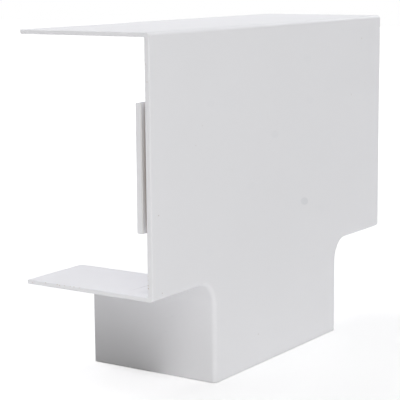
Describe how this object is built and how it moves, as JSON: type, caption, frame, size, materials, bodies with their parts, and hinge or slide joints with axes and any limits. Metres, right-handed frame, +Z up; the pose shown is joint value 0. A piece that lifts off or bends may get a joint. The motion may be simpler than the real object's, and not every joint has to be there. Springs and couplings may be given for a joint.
{
  "type": "trunking tee fitting",
  "caption": "Flat equal tee that slips over rectangular cable trunking: T-shaped face, flanges back to the wall, open mouths and a lid tongue behind each mouth.",
  "frame": {"origin": "under the middle of the fitting's box, at the height of the branch mouth that it stands on", "axes": "+X along the main from the left mouth to the right, +Y from the face back to the wall, +Z up, away from the branch"},
  "size_m": [0.191, 0.0636, 0.1475],
  "materials": {
    "white_pvc": "white PVC-U as moulded, even satin with a very fine grain, faint handling marks"
  },
  "bodies": {
    "root": {"tee_cover": "white_pvc"}
  },
  "joints": []
}
